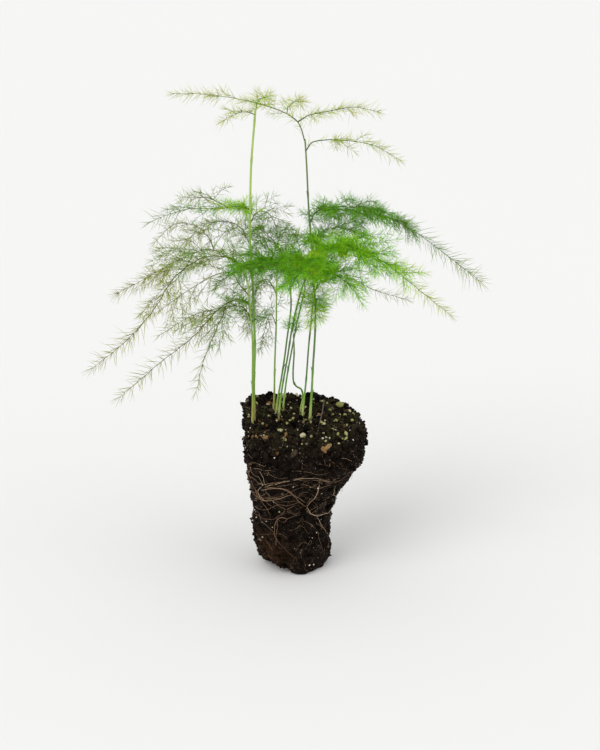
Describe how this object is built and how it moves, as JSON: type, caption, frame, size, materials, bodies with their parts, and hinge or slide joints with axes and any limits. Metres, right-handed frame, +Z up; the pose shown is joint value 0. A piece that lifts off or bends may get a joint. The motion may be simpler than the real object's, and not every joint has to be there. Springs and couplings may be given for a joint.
{
  "type": "fern plug plant",
  "caption": "Young asparagus fern with feathery needle sprays on wiry stems, rooted in a bare moulded plug of dark potting soil that stands on its flat foot.",
  "frame": {"origin": "on the flat foot of the soil plug, near its middle", "axes": "+Z up along the stems; -Y is the front, the side with most roots; +X to the right seen from the front"},
  "size_m": [0.1118, 0.0847, 0.1474],
  "materials": {
    "soil": "moist dark crumbly potting mix",
    "crown": "matt, fibrous",
    "stem_pale": "satin, smooth and wiry",
    "stem_dark": "satin, smooth and wiry",
    "foliage": "soft satin needles",
    "foliage_olive": "soft satin needles, paler and browner",
    "root": "matt, fibrous",
    "perlite": "matt, porous",
    "bark": "matt, rough"
  },
  "bodies": {
    "root": {"soil_plug": "soil", "crown_left": "crown", "crown_middle": "crown", "crown_right": "crown", "stem_tall_left": "stem_pale", "stem_left": "stem_pale", "stem_back": "stem_pale", "stem_middle": "stem_dark", "stem_front": "stem_dark", "stem_slender": "stem_dark", "stem_hooked": "stem_dark", "stem_short": "stem_dark", "stem_tall_right": "stem_dark", "frond_top_long": "foliage", "frond_top_right": "foliage", "frond_top_low": "foliage", "tuft_top_back": "foliage", "tuft_top_left": "foliage_olive", "tuft_top_far": "foliage", "frond_left_upper": "foliage_olive", "spray_left_upper": "foliage_olive", "frond_left_far": "foliage_olive", "frond_left_mid": "foliage_olive", "frond_left_front": "foliage_olive", "frond_left_low": "foliage_olive", "spray_left_low": "foliage_olive", "frond_left_rear": "foliage_olive", "frond_left_under": "foliage_olive", "frond_hanging_back": "foliage_olive", "spray_hanging": "foliage_olive", "frond_arching_back": "foliage_olive", "frond_over_middle": "foliage", "frond_far_back": "foliage", "frond_middle_left": "foliage_olive", "frond_middle_back": "foliage", "frond_middle_front": "foliage", "frond_front": "foliage", "frond_back": "foliage", "frond_right_upper": "foliage", "frond_right_front": "foliage", "frond_right_low": "foliage", "frond_right_near": "foliage", "frond_right_back": "foliage", "tuft_middle": "foliage", "tuft_hooked": "foliage", "root_upper_runner": "root", "root_middle_runner": "root", "root_left_loop": "root", "root_right_upper": "root", "root_wandering": "root", "root_falling": "root", "root_low_flat": "root", "root_low_runner": "root", "perlite_large": "perlite", "perlite_middle": "perlite", "perlite_back": "perlite", "bark_chip_left": "bark", "bark_chip_back": "bark", "dead_twig": "bark"}
  },
  "joints": []
}
